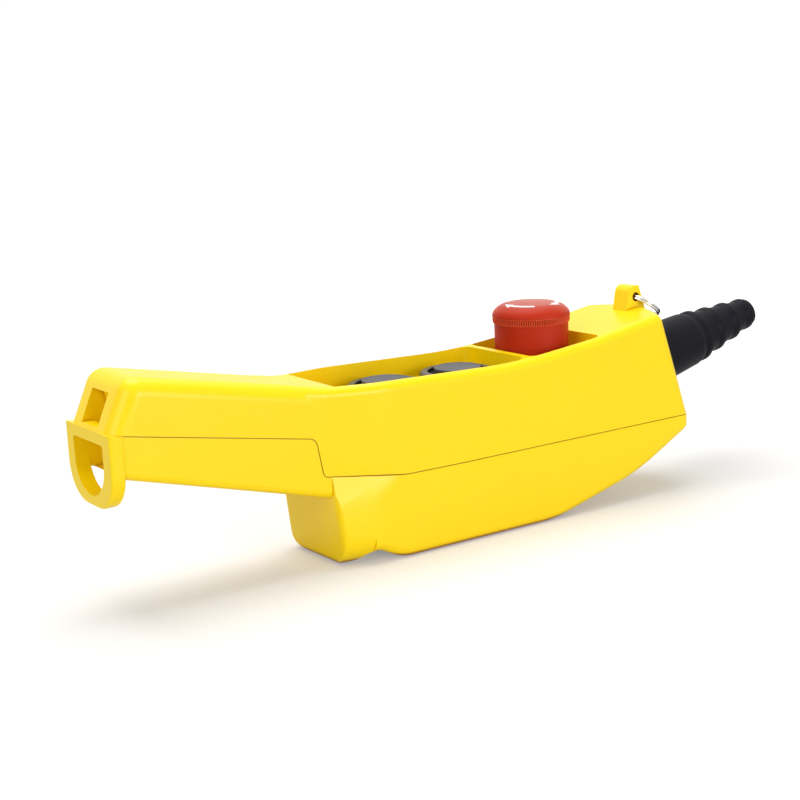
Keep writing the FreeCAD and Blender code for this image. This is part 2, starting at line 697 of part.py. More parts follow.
def rear_shell():
    """Belly side of the housing with its eyelet, screw tubes and contact block ribs."""
    body = rear_body()
    inner = body_side(WALL).common(plan_prism(WALL)).common(end_limit(WALL, 0.0))
    deep = block(BUMP_X + WALL, END_X, -HEAD_HALF + WALL, HEAD_HALF - WALL, 0.0, SHOULDER_LOW_Z - 1.0)
    deep = deep.common(body_side(WALL)).common(end_limit(WALL, 0.0)).common(bump_limit(WALL))
    deep = deep.common(foot_prism(WALL))
    inner = inner.fuse(deep)
    inner = inner.cut(block(LIP_X - OUTSIDE, BULKHEAD_X + WALL / 2, -OUTSIDE, OUTSIDE, 0, OUTSIDE * 2))
    posts = []
    for x, y in SCREW_SPOTS:
        posts.append(rod(TUBE_RADIUS, belly_z(x), seam_z(x), x, y))
    for x in BUTTON_X + (STOP_X,):
        for side in (-1, 1):
            at = x + side * BLOCK_LENGTH / 3.0
            posts.append(block(at - 1.0, at + 1.0, -BLOCK_HALF, BLOCK_HALF, 0.5, BLOCK_LOW_Z))
    inner = inner.cut(posts[0].multiFuse(posts[1:]))
    body = body.cut(inner)
    cuts = [eyelet_hole()]
    floor = grip_floor_z(CHANNEL_LOW[0]) + WALL
    cuts.append(channel(EYE_HOLE_HALF, floor, 2.0 * OUTSIDE))
    for x, y in SCREW_SPOTS:
        cuts.append(rod(TUBE_BORE, belly_z(x) - OUTSIDE, screw_seat_z(x), x, y))
        cuts.append(rod(SCREW_SHANK + FIT, screw_seat_z(x) - 1.0, seam_z(x) + 1.0, x, y))
    body = body.cut(cuts[0].multiFuse(cuts[1:]))
    body = body.cut(seal_ring(FIT / 2.0))
    return body.common(prism(parting(-1), "xz", -OUTSIDE, OUTSIDE))


def housing_screws():
    """Six alike self-tapping screws from the belly side."""
    screws = []
    for x, y in SCREW_SPOTS:
        seat = screw_seat_z(x)
        head = turned([(0, seat - SCREW_HEAD_HIGH), (SCREW_HEAD, seat - SCREW_HEAD_HIGH, 1.2),
                       (SCREW_HEAD, seat), (0, seat)], x, y)
        shank = rod(SCREW_SHANK - FIT, seat, seam_z(x), x, y)
        tip = rod(BOSS_PILOT, seam_z(x), seam_z(x) + SCREW_BITE, x, y)
        screws.append(joined([head, shank, tip]))
    return Part.makeCompound(screws)


def entry_axis():
    """The direction in which the cable leaves."""
    rise = math.radians(ENTRY_RISE)
    return FreeCAD.Vector(math.cos(rise), 0, math.sin(rise))


def along_entry(radius, start, end):
    """A round bar on the cable's axis between two places measured from the end wall."""
    axis = entry_axis()
    base = FreeCAD.Vector(ENTRY_X, 0, ENTRY_Z) + axis * start
    return Part.makeCylinder(radius, end - start, base, axis)


def clamp_seat_z():
    """Height at which the clamp's ends bear on their posts."""
    return ENTRY_Z + (CLAMP_X - ENTRY_X) * math.tan(math.radians(ENTRY_RISE)) + 1.0


def cable_sleeve():
    """Tapered rubber sleeve: a cone, four beads with waists between them and a thick end."""
    corners = [(-8.0, 0.0), (-8.0, SLEEVE_BASE + 8.0 * taper()), (0.0, SLEEVE_BASE)]
    for i, at in enumerate(SLEEVE_RING_AT):
        radius = SLEEVE_RING_RADIUS[i]
        if i:
            corners.append((SLEEVE_RING_AT[i - 1] + SLEEVE_BEAD + 0.6, radius + 0.2, 2.0))
        corners.append((at - SLEEVE_BEAD - 0.6, radius - SLEEVE_WAIST + 0.3, 2.0))
        corners.append((at - SLEEVE_BEAD, radius, 0.5))
        corners.append((at + SLEEVE_BEAD, radius, 0.5))
    corners.append((SLEEVE_LENGTH, SLEEVE_RING_RADIUS[-1] - 0.1, 1.6))
    corners.append((SLEEVE_LENGTH, 0.0))
    face = Part.Face(outline(corners, "xz", 0.0))
    bare = face.revolve(FreeCAD.Vector(0, 0, 0), FreeCAD.Vector(1, 0, 0), 360)
    bare.rotate(FreeCAD.Vector(0, 0, 0), FreeCAD.Vector(0, 1, 0), -ENTRY_RISE)
    bare.translate(FreeCAD.Vector(ENTRY_X, 0, ENTRY_Z))
    outer = bare.cut(lean_limit(-FIT))
    neck = along_entry(ENTRY_RADIUS, -SLEEVE_NECK_REACH, SLEEVE_LAP)
    flange = along_entry(SLEEVE_FLANGE, -SLEEVE_FLANGE_REACH, SLEEVE_LAP).common(lean_limit(WALL + FIT))
    flange = flange.cut(lean_limit(WALL + SLEEVE_FLANGE_THICK))
    neck = neck.cut(lean_limit(WALL + SLEEVE_FLANGE_THICK))
    whole = outer.fuse([neck, flange])
    return whole.cut(along_entry(CABLE_RADIUS, -SLEEVE_BORE_REACH, SLEEVE_LENGTH + SLEEVE_LAP)).removeSplitter()


def taper():
    """How fast the sleeve's cone narrows towards its first bead."""
    return (SLEEVE_BASE - SLEEVE_RING_RADIUS[0] + SLEEVE_WAIST) / SLEEVE_RING_AT[0]


def cable_clamp():
    """The saddle that holds the cable against the cradle in the front shell."""
    seat = clamp_seat_z()
    reach = CLAMP_SCREW_Y + CLAMP_POST
    low = seat - CLAMP_THICK
    bar = block(CLAMP_X - CLAMP_LENGTH / 2, CLAMP_X + CLAMP_LENGTH / 2, -reach, reach, low - CLAMP_RIB, seat)
    rib = CABLE_RADIUS + CLAMP_RIB_WALL
    for side in (-1, 1):
        near, far = sorted((side * rib, side * (reach + 1.0)))
        bar = bar.cut(block(CLAMP_X - CLAMP_LENGTH, CLAMP_X + CLAMP_LENGTH, near, far, low - OUTSIDE, low))
        y = side * CLAMP_SCREW_Y
        bar = bar.cut(rod(TERMINAL_SHANK + 3 * FIT, low - CLAMP_THICK, seat + 1.0, CLAMP_X, y))
    return bar.cut(along_entry(CABLE_RADIUS + 2 * FIT, -2.0 * OUTSIDE, 0.0))


def clamp_screws():
    """The two screws of the cable clamp."""
    low = clamp_seat_z() - CLAMP_THICK
    screws = []
    for side in (-1, 1):
        y = side * CLAMP_SCREW_Y
        under = low - CLAMP_SCREW_HEAD_HIGH
        corners = [(0, under), (CLAMP_SCREW_HEAD, under, 0.9), (CLAMP_SCREW_HEAD, low), (0, low)]
        head = turned(corners, CLAMP_X, y)
        tip = low + CLAMP_THICK + CLAMP_SCREW_BITE
        screws.append(joined([head, rod(TERMINAL_SHANK, low, tip, CLAMP_X, y)]))
    return Part.makeCompound(screws)


def key_ring():
    """Split ring through the lug, its two turns of wire taken as one band."""
    half = RING_WIRE * 1.9
    inner = RING_RADIUS - RING_WIRE
    outer = RING_RADIUS + RING_WIRE
    soft = RING_WIRE * 0.7
    corners = [(inner, -half, soft), (outer, -half, soft), (outer, half, soft), (inner, half, soft)]
    ring = turned(corners, 0.0)
    ring.rotate(FreeCAD.Vector(0, 0, 0), FreeCAD.Vector(0, 1, 0), RING_HANG)
    hang = math.radians(RING_HANG)
    reach = RING_RADIUS - 1.1 * RING_WIRE
    ring.translate(FreeCAD.Vector(LUG_X + reach * math.cos(hang), 0, LUG_HOLE_Z - reach * math.sin(hang)))
    return ring


def button_collar(x):
    """Round collar that guards the button and screws through the recess floor."""
    return turned([
        (NECK_BORE, NECK_END_Z), (NECK_RADIUS, NECK_END_Z), (NECK_RADIUS, FLOOR_Z),
        (COLLAR_RADIUS, FLOOR_Z), (COLLAR_RADIUS, COLLAR_TOP_Z, COLLAR_ROUND),
        (BOOT_RADIUS, COLLAR_TOP_Z, 0.5), (BOOT_RADIUS, BOOT_LOW_Z), (COLLAR_BORE, BOOT_LOW_Z),
        (COLLAR_BORE, NECK_FLOOR_Z), (NECK_BORE, NECK_FLOOR_Z),
    ], x)


def button_boot(x):
    """Rubber lip seal lying in the groove between the collar and the cap."""
    inner = CAP_RADIUS + BOOT_GAP
    return turned([
        (inner, BOOT_LOW_Z), (BOOT_RADIUS - FIT, BOOT_LOW_Z), (BOOT_RADIUS - FIT, BOOT_TOP_Z, 0.4),
        (inner, BOOT_TOP_Z - 0.8, 0.3),
    ], x)


def button_cap(x):
    """Flat round cap with a skirt."""
    ceiling = CAP_TOP_Z - CAP_THICK
    return turned([
        (0, ceiling), (CAP_RADIUS - CAP_WALL, ceiling), (CAP_RADIUS - CAP_WALL, CAP_SKIRT_Z),
        (CAP_RADIUS, CAP_SKIRT_Z), (CAP_RADIUS, CAP_TOP_Z, 0.6), (0, CAP_TOP_Z),
    ], x)


def button_rod(x):
    """Plunger under the cap, with the piston that runs in the collar's neck."""
    top = CAP_TOP_Z - CAP_THICK
    low = make_bridge_z()
    guide = NECK_BORE - RUNNING_GAP
    return turned([
        (0, low), (ROD_RADIUS, low), (ROD_RADIUS, PISTON_Z), (guide, PISTON_Z),
        (guide, PISTON_Z + PISTON_THICK), (ROD_RADIUS, PISTON_Z + PISTON_THICK), (ROD_RADIUS, top), (0, top),
    ], x)


def panel_nut(x):
    """Six-sided nut that holds a collar under the recess floor."""
    radius = NUT_FLATS / math.sqrt(3.0)
    corners = [(x + radius * math.cos(k * math.pi / 3), radius * math.sin(k * math.pi / 3)) for k in range(6)]
    high = FLOOR_Z - WALL
    nut = prism(corners, "xy", high - NUT_THICK, high)
    return nut.cut(rod(NECK_RADIUS + THREAD_GAP, high - NUT_THICK - 1, high + 1, x))


def coil_spring(x, radius, low, high):
    """Compression spring of square wire between two seats."""
    height = high - low - SPRING_WIRE
    helix = Part.makeHelix(height / SPRING_TURNS, height, radius)
    half = SPRING_WIRE / 2.0
    inner = radius - half
    outer = radius + half
    section = outline([(inner, -half), (outer, -half), (outer, half), (inner, half)])
    wire = Part.Wire(helix).makePipeShell([section], True, True)
    wire.translate(FreeCAD.Vector(x, 0, low + half))
    return wire


def contact_block(x, strip_z, rod_radius):
    """Moulded contact block: a bore for the rod, a hall for the bridge and two terminal ledges."""
    half = BLOCK_LENGTH / 2.0
    body = block(x - half, x + half, -BLOCK_HALF, BLOCK_HALF, BLOCK_LOW_Z, NECK_END_Z)
    body = body.fuse(block(x - half, x + half, -LEDGE_HALF, LEDGE_HALF, BLOCK_LOW_Z, strip_z))
    hall = block(x - CAVITY_HALF_X, x + CAVITY_HALF_X, -CAVITY_HALF_Y, CAVITY_HALF_Y, CAVITY_LOW_Z, CAVITY_HIGH_Z)
    slot = STRIP_HALF_WIDTH + FIT
    door = block(x - slot, x + slot, -LEDGE_HALF - 1, LEDGE_HALF + 1, strip_z, strip_z + STRIP_THICK + FIT)
    body = body.cut(hall).cut(door).cut(rod(rod_radius + RUNNING_GAP, CAVITY_HIGH_Z - 1, NECK_END_Z + 1, x))
    for side in (-1, 1):
        body = body.cut(rod(TERMINAL_SHANK, strip_z - TERMINAL_DEPTH, strip_z + 1, x, side * TERMINAL_Y))
    return body.removeSplitter()


def contact_strips(x, strip_z, face_up):
    """The two fixed contact strips of a block, each with its contact button."""
    strips = []
    for side in (-1, 1):
        inner = side * STRIP_INNER
        outer = side * STRIP_OUTER
        bar = block(x - STRIP_HALF_WIDTH, x + STRIP_HALF_WIDTH, min(inner, outer), max(inner, outer),
                    strip_z, strip_z + STRIP_THICK)
        bar = bar.cut(rod(TERMINAL_SHANK + FIT, strip_z - 1, strip_z + 2, x, side * TERMINAL_Y))
        at = side * (BRIDGE_HALF - CONTACT_RADIUS)
        low = strip_z + STRIP_THICK if face_up else strip_z - CONTACT_HIGH
        strips.append(joined([bar, rod(CONTACT_RADIUS, low, low + CONTACT_HIGH, x, at)]))
    return Part.makeCompound(strips)


def make_bridge_z():
    """Top of a push button's bridge, which closes on the strips at the end of the travel."""
    return MAKE_STRIP_Z + STRIP_THICK + 2 * CONTACT_HIGH + CONTACT_GAP + BUTTON_TRAVEL + BRIDGE_THICK


def break_bridge_z():
    """Top of the stop control's bridge, which lies under its strips until it is pressed."""
    return BREAK_STRIP_Z - 2 * CONTACT_HIGH - CONTACT_GAP


def contact_bridge(x, top, face_up):
    """The moving contact bar on the end of a rod, with a contact button near each end."""
    bar = block(x - BRIDGE_HALF_WIDTH, x + BRIDGE_HALF_WIDTH, -BRIDGE_HALF, BRIDGE_HALF, top - BRIDGE_THICK, top)
    shapes = [bar]
    low = top if face_up else top - BRIDGE_THICK - CONTACT_HIGH
    for side in (-1, 1):
        shapes.append(rod(CONTACT_RADIUS, low, low + CONTACT_HIGH, x, side * (BRIDGE_HALF - CONTACT_RADIUS)))
    return joined(shapes)


def terminal_screws():
    """Six alike terminal screws, two for each contact block."""
    screws = []
    for x, strip_z in [(x, MAKE_STRIP_Z) for x in BUTTON_X] + [(STOP_X, BREAK_STRIP_Z)]:
        seat = strip_z + STRIP_THICK
        for side in (-1, 1):
            y = side * TERMINAL_Y
            head = rod(TERMINAL_HEAD, seat, seat + TERMINAL_HEAD_HIGH, x, y)
            shank = rod(TERMINAL_SHANK, strip_z - TERMINAL_DEPTH, seat, x, y)
            screws.append(joined([head, shank]))
    return Part.makeCompound(screws)


def stop_head():
    """Mushroom head: domed top, rounded rim, grip band and a deep skirt."""
    top = STOP_RIM_Z + STOP_DOME
    shoulder = FreeCAD.Vector(STOP_CROWN_RADIUS, 0, top - STOP_CROWN)
    sphere = (STOP_CROWN_RADIUS ** 2 + STOP_CROWN ** 2) / (2.0 * STOP_CROWN)
    half = STOP_CROWN_RADIUS / 2.0
    middle = FreeCAD.Vector(half, 0, top - sphere + math.sqrt(sphere ** 2 - half ** 2))
    rim = FreeCAD.Vector(STOP_RADIUS, 0, STOP_RIM_Z)
    bulge = FreeCAD.Vector(STOP_RADIUS - 1.25, 0, STOP_RIM_Z + 3.35)
    rest = [
        (STOP_RADIUS, STOP_RIM_Z), (STOP_RADIUS, STOP_RIM_Z - 0.6), (STOP_BAND_RADIUS, STOP_BAND_Z),
        (STOP_SKIRT_RADIUS, STOP_SKIRT_Z), (STOP_SKIRT_RADIUS - STOP_WALL, STOP_SKIRT_Z),
        (STOP_SKIRT_RADIUS - STOP_WALL, STOP_CEILING_Z), (STOP_HUB, STOP_CEILING_Z), (STOP_HUB, STOP_HUB_Z + FIT),
        (SPIGOT_RADIUS + FIT, STOP_HUB_Z + FIT), (SPIGOT_RADIUS + FIT, SPIGOT_TOP_Z + FIT),
        (0, SPIGOT_TOP_Z + FIT), (0, top),
    ]
    points = [FreeCAD.Vector(a, 0, b) for a, b in rest]
    edges = [Part.Arc(points[-1], middle, shoulder).toShape(), Part.Arc(shoulder, bulge, rim).toShape()]
    edges += [Part.LineSegment(a, b).toShape() for a, b in zip(points, points[1:])]
    head = Part.Face(Part.Wire(edges)).revolve(FreeCAD.Vector(0, 0, 0), FreeCAD.Vector(0, 0, 1), 360)
    head.translate(FreeCAD.Vector(STOP_X, 0, 0))
    return head


def stop_stem():
    """Stem of the stop control, from the head's spigot down to its contact bridge."""
    low = break_bridge_z()
    return turned([
        (0, low), (ROD_RADIUS, low), (ROD_RADIUS, STEM_LOW_Z), (STEM_RADIUS, STEM_LOW_Z),
        (STEM_RADIUS, STOP_HUB_Z), (SPIGOT_RADIUS, STOP_HUB_Z), (SPIGOT_RADIUS, SPIGOT_TOP_Z), (0, SPIGOT_TOP_Z),
    ], STOP_X)


def stop_collar():
    """Collar of the stop control, low under the head's skirt."""
    bore = STEM_RADIUS + RUNNING_GAP
    return turned([
        (bore, NECK_END_Z), (NECK_RADIUS, NECK_END_Z), (NECK_RADIUS, FLOOR_Z), (STOP_COLLAR_RADIUS, FLOOR_Z),
        (STOP_COLLAR_RADIUS, STOP_COLLAR_TOP_Z, 0.8), (bore, STOP_COLLAR_TOP_Z),
    ], STOP_X)


def build():
    """Every piece of the pendant by name."""
    parts = {
        "front_shell": front_shell(),
        "rear_shell": rear_shell(),
        "shell_seal": seal_ring(),
        "housing_screws": housing_screws(),
        "cable_sleeve": cable_sleeve(),
        "cable_clamp": cable_clamp(),
        "clamp_screws": clamp_screws(),
        "key_ring": key_ring(),
        "terminal_screws": terminal_screws(),
        "stop_head": stop_head(),
        "stop_stem": stop_stem(),
        "stop_collar": stop_collar(),
        "stop_nut": panel_nut(STOP_X),
        "stop_spring": coil_spring(STOP_X, STOP_SPRING_RADIUS, NECK_END_Z, STEM_LOW_Z),
        "stop_contact_block": contact_block(STOP_X, BREAK_STRIP_Z, ROD_RADIUS),
        "stop_contact_strips": contact_strips(STOP_X, BREAK_STRIP_Z, False),
        "stop_contact_bridge": contact_bridge(STOP_X, break_bridge_z(), True),
    }
    for name, x in zip(BUTTON_NAMES, BUTTON_X):
        parts[name + "_collar"] = button_collar(x)
        parts[name + "_boot"] = button_boot(x)
        parts[name + "_cap"] = button_cap(x)
        parts[name + "_rod"] = button_rod(x)
        parts[name + "_nut"] = panel_nut(x)
        parts[name + "_spring"] = coil_spring(x, BUTTON_SPRING_RADIUS, NECK_END_Z, PISTON_Z)
        parts[name + "_contact_block"] = contact_block(x, MAKE_STRIP_Z, ROD_RADIUS)
        parts[name + "_contact_strips"] = contact_strips(x, MAKE_STRIP_Z, True)
        parts[name + "_contact_bridge"] = contact_bridge(x, make_bridge_z(), False)
    return parts


for node, shape in build().items():
    shape.exportStep("parts/" + node + ".step")
    print(node, len(shape.Solids), "solids, volume", round(shape.Volume), "valid", shape.isValid())
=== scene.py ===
import json
import math

import bmesh
import bpy
import numpy as np
from mathutils import Matrix, Vector


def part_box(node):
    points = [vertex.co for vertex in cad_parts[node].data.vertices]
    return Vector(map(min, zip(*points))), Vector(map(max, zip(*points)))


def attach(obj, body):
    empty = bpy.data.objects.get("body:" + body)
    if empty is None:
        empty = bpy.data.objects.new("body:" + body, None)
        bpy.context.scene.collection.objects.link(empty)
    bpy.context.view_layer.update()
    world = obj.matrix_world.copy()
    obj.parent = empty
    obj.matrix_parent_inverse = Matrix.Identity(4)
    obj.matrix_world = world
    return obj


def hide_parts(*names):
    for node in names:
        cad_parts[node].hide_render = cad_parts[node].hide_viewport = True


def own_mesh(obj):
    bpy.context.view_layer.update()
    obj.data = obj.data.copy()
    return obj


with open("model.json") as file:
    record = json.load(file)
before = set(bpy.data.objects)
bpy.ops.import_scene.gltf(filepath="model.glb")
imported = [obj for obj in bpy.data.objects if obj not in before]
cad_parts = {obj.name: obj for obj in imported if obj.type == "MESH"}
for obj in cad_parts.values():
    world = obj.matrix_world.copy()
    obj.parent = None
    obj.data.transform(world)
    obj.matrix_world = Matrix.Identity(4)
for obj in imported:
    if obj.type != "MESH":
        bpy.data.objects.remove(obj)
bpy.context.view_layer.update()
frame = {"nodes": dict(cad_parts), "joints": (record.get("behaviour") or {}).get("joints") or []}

# Lengths are in millimetres and angles in degrees, unless a comment or math.radians says otherwise. The
# corners of a profile are (radius, height[, round]).
MM = 0.001
JOINTS = {joint["name"]: joint for joint in frame["joints"]}


# Places read from the frame

def node_box(node):
    """Lowest and highest corners of a CAD node at rest, to a thousandth of a millimetre."""
    low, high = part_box(node)
    return np.round(np.array(low) / MM, 3), np.round(np.array(high) / MM, 3)


def middle_x(node):
    """How far along the housing the middle of a CAD node lies."""
    low, high = node_box(node)
    return round(float(low[0] + high[0]) / 2.0, 3)


CONTROL_X = {"lower": middle_x("lower_cap"), "raise": middle_x("raise_cap"), "stop": middle_x("stop_head")}
BUTTONS = ("lower", "raise")


# Shapes worked out with numpy

NEARLY_HALF = 0.49


def rounded(corners, steps=8):
    """Open path through (a, b[, radius]) corners. A corner with a radius becomes the circular arc
    tangent to both its sides: centre + r (cos t, sin t), with t swept between the tangent points. An arc
    takes nearly half of a side at most, and its radius shrinks to fit."""
    path = []
    for i, corner in enumerate(corners):
        p = np.array(corner[:2], float)
        radius = corner[2] if len(corner) > 2 else 0.0
        if radius == 0.0 or i in (0, len(corners) - 1):
            path.append(p[None])
            continue
        a = np.array(corners[i - 1][:2], float) - p
        b = np.array(corners[i + 1][:2], float) - p
        la, lb = np.hypot(*a), np.hypot(*b)
        a, b = a / la, b / lb
        half = 0.5 * math.acos(float(np.clip(a @ b, -1, 1)))
        reach = min(radius / math.tan(half), NEARLY_HALF * la, NEARLY_HALF * lb)
        radius = reach * math.tan(half)
        centre = p + (a + b) / np.hypot(*(a + b)) * radius / math.sin(half)
        start, end = p + a * reach - centre, p + b * reach - centre
        t0 = math.atan2(start[1], start[0])
        turn = math.atan2(start[0] * end[1] - start[1] * end[0], float(start @ end))
        t = t0 + turn * np.linspace(0.0, 1.0, steps + 1)
        path.append(centre + radius * np.stack([np.cos(t), np.sin(t)], 1))
    return np.concatenate(path)


def dense(path, step):
    """The same path with extra points, so that no two neighbours are further apart than step."""
    out = [path[:1]]
    for p, q in zip(path, path[1:]):
        count = max(1, int(math.ceil(np.hypot(*(q - p)) / step)))
        out.append(p + (q - p) * np.linspace(0.0, 1.0, count + 1)[1:, None])
    return np.concatenate(out)


# In metres: nearer points are welded, and thinner faces dissolved
WELD = 2e-6
SLIVER = 1e-6


def finish_mesh(name, mesh, angle):
    """Welds doubled points, points the normals outwards and shades smooth up to an angle in degrees."""
    bm = bmesh.new()
    bm.from_mesh(mesh)
    bmesh.ops.remove_doubles(bm, verts=bm.verts, dist=WELD)
    bmesh.ops.dissolve_degenerate(bm, edges=bm.edges, dist=SLIVER)
    bmesh.ops.recalc_face_normals(bm, faces=bm.faces)
    bm.to_mesh(mesh)
    bm.free()
    mesh.shade_smooth()
    mesh.set_sharp_from_angle(angle=math.radians(angle))
    piece = bpy.data.objects.new(name, mesh)
    bpy.context.scene.collection.objects.link(piece)
    return piece


def sheet_mesh(name, points, wrap=False, angle=40.0):
    """Mesh of the grid points[i, j] -> (x, y, z), closed round in j where wrap is set."""
    rows, cols = points.shape[:2]
    i, j = np.meshgrid(np.arange(rows - 1), np.arange(cols if wrap else cols - 1), indexing="ij")
    k = (j + 1) % cols
    faces = np.stack([i * cols + j, i * cols + k, (i + 1) * cols + k, (i + 1) * cols + j], -1).reshape(-1, 4)
    mesh = bpy.data.meshes.new(name)
    mesh.from_pydata((points.reshape(-1, 3) * MM).tolist(), [], faces.tolist())
    return finish_mesh(name, mesh, angle)


def lathe(name, corners, centre, axis=(0.0, 0.0, 1.0), segments=128, ripple=None, step=1.0, angle=40.0):
    """Surface of revolution: P(s, t) = centre + h(s) W + r(s, t) (U cos t + V sin t), where W is the
    axis and ripple, if given, turns (r, h, t) into the radius at that place."""
    path = dense(rounded(corners), step)
    w = np.array(axis, float) / np.linalg.norm(axis)
    v = np.array([0.0, 1.0, 0.0])
    u = np.cross(v, w)
    t = np.linspace(0.0, 2.0 * math.pi, segments, endpoint=False)
    r = np.repeat(path[:, :1], segments, 1)
    h = np.repeat(path[:, 1:], segments, 1)
    if ripple:
        r = ripple(r, h, t[None, :])
    around = u * np.cos(t)[:, None] + v * np.sin(t)[:, None]
    points = np.array(centre, float) + h[..., None] * w + r[..., None] * around
    return sheet_mesh(name, points, wrap=True, angle=angle)


OFF_PATH = np.array([0.3, 0.1, 0.95])
END_DOME = 0.82


def tube(name, path, radius, segments=20):
    """Round wire: P(s, t) = C(s) + radius (N cos t + B sin t), with N and B square to the path's
    direction. The radius shrinks over the last two points of each end, which closes it in a dome."""
    ahead = np.gradient(path, axis=0)
    ahead /= np.linalg.norm(ahead, axis=1)[:, None]
    side = np.cross(ahead, OFF_PATH)
    side /= np.linalg.norm(side, axis=1)[:, None]
    other = np.cross(ahead, side)
    t = np.linspace(0.0, 2.0 * math.pi, segments, endpoint=False)
    size = np.full(len(path), radius)
    size[[0, -1]] = 0.0
    size[[1, -2]] = END_DOME * radius
    ring = np.cos(t)[None, :, None] * side[:, None] + np.sin(t)[None, :, None] * other[:, None]
    return sheet_mesh(name, path[:, None] + size[:, None, None] * ring, wrap=True, angle=60.0)


# Shader nodes

def add_node(tree, kind, operation=None, **values):
    """A new shader node. The values are its inputs by name, with _ for a space."""
    node = tree.nodes.new("ShaderNode" + kind)
    if operation:
        node.operation = operation
    for name, value in values.items():
        node.inputs[name.replace("_", " ")].default_value = value
    return node


def add_mix(tree, factor):
    """A node that mixes its colours A and B by the factor socket."""
    mix = tree.nodes.new("ShaderNodeMix")
    mix.data_type = "RGBA"
    tree.links.new(factor, mix.inputs["Factor"])
    return mix


def new_group(name, entries, results):
    """A shader node group with inputs (name, kind, value) and outputs (name, kind). Returns the group and
    its two end nodes."""
    group = bpy.data.node_groups.new(name, "ShaderNodeTree")
    for label, kind, value in entries:
        item = group.interface.new_socket(name=label, in_out="INPUT", socket_type="NodeSocket" + kind)
        item.default_value = value
    for label, kind in results:
        group.interface.new_socket(name=label, in_out="OUTPUT", socket_type="NodeSocket" + kind)
    return group, group.nodes.new("NodeGroupInput"), group.nodes.new("NodeGroupOutput")


GLOSS_SPREAD = 0.14


def moulded_group():
    """Shared finish of moulded parts: cloudy colour, uneven gloss and a fine moulded grain."""
    group, entry, leave = new_group("moulded_finish", (
        ("Color", "Color", (0.5, 0.5, 0.5, 1.0)), ("Second color", "Color", (0.4, 0.4, 0.4, 1.0)),
        ("Roughness", "Float", 0.4), ("Grain scale", "Float", 900.0), ("Grain height", "Float", 0.05)),
        (("Color", "Color"), ("Roughness", "Float"), ("Normal", "Vector")))
    link = group.links.new
    where = add_node(group, "TexCoord")
    cloud = add_node(group, "TexNoise", Scale=22.0, Detail=3.0)
    patch = add_node(group, "TexNoise", Scale=120.0, Detail=4.0)
    grain = add_node(group, "TexNoise", Detail=2.0)
    for noise in (cloud, patch, grain):
        link(where.outputs["Object"], noise.inputs["Vector"])
    tint = add_mix(group, cloud.outputs["Fac"])
    link(entry.outputs["Color"], tint.inputs["A"])
    link(entry.outputs["Second color"], tint.inputs["B"])
    base = add_node(group, "Math", "SUBTRACT")
    base.inputs[1].default_value = GLOSS_SPREAD / 2.0
    link(entry.outputs["Roughness"], base.inputs[0])
    gloss = add_node(group, "Math", "MULTIPLY_ADD")
    gloss.inputs[1].default_value = GLOSS_SPREAD
    link(patch.outputs["Fac"], gloss.inputs[0])
    link(base.outputs[0], gloss.inputs[2])
    link(entry.outputs["Grain scale"], grain.inputs["Scale"])
    bump = add_node(group, "Bump", Distance=0.0004)
    link(grain.outputs["Fac"], bump.inputs["Height"])
    link(entry.outputs["Grain height"], bump.inputs["Strength"])
    link(tint.outputs["Result"], leave.inputs["Color"])
    link(gloss.outputs[0], leave.inputs["Roughness"])
    link(bump.outputs["Normal"], leave.inputs["Normal"])
    return group


def crevice_shade_group():
    """Shared painted shade for closed-in places, such as grooves and corners: mixes the shade colour in
    where the surface has neighbours within the distance, in metres."""
    group, entry, leave = new_group("crevice_shade", (
        ("Color", "Color", (0.5, 0.5, 0.5, 1.0)), ("Shade color", "Color", (0.1, 0.1, 0.1, 1.0)),
        ("Distance", "Float", 0.004)), (("Color", "Color"),))
    link = group.links.new
    # Painted shade: the more closed-in the place, the more of the shade colour
    closed = add_node(group, "AmbientOcclusion")
    closed.samples = 8
    link(entry.outputs["Distance"], closed.inputs["Distance"])
    spread = add_node(group, "MapRange", From_Min=0.20, From_Max=0.70)
    link(closed.outputs["AO"], spread.inputs["Value"])
    blend = add_mix(group, spread.outputs["Result"])
    link(entry.outputs["Shade color"], blend.inputs["A"])
    link(entry.outputs["Color"], blend.inputs["B"])
    link(blend.outputs["Result"], leave.inputs["Color"])
    return group


MOULDED = moulded_group()
CREVICE_SHADE = crevice_shade_group()


def moulded(name, color, second, roughness, grain=900.0, height=0.05, metallic=0.0, soft=0.0, specular=0.5):
    """A material on the shared moulded finish."""
    material = bpy.data.materials.new(name)
    material.use_nodes = True
    shader = material.node_tree.nodes["Principled BSDF"]
    finish = add_node(material.node_tree, "Group")
    finish.node_tree = MOULDED
    finish.inputs["Color"].default_value = (*color, 1.0)
    finish.inputs["Second color"].default_value = (*second, 1.0)
    finish.inputs["Roughness"].default_value = roughness
    finish.inputs["Grain scale"].default_value = grain
    finish.inputs["Grain height"].default_value = height
    for result, entry in (("Color", "Base Color"), ("Roughness", "Roughness"), ("Normal", "Normal")):
        material.node_tree.links.new(finish.outputs[result], shader.inputs[entry])
    shader.inputs["Metallic"].default_value = metallic
    shader.inputs["Specular IOR Level"].default_value = specular
    shader.inputs["Subsurface Weight"].default_value = soft
    shader.inputs["Subsurface Radius"].default_value = (1.0, 0.5, 0.05)
    shader.inputs["Subsurface Scale"].default_value = 0.002
    return material


def paint_crevice_shade(material, shade_color, distance):
    """Painted shade: turns the base colour to the shade colour in closed-in places, with neighbours within
    the distance.
    """
    tree = material.node_tree
    entry = tree.nodes["Principled BSDF"].inputs["Base Color"]
    plain = entry.links[0].from_socket
    closed = add_node(tree, "Group")
    closed.node_tree = CREVICE_SHADE
    closed.inputs["Shade color"].default_value = (*shade_color, 1.0)
    closed.inputs["Distance"].default_value = distance * MM
    tree.links.new(plain, closed.inputs["Color"])
    tree.links.new(closed.outputs["Color"], entry)


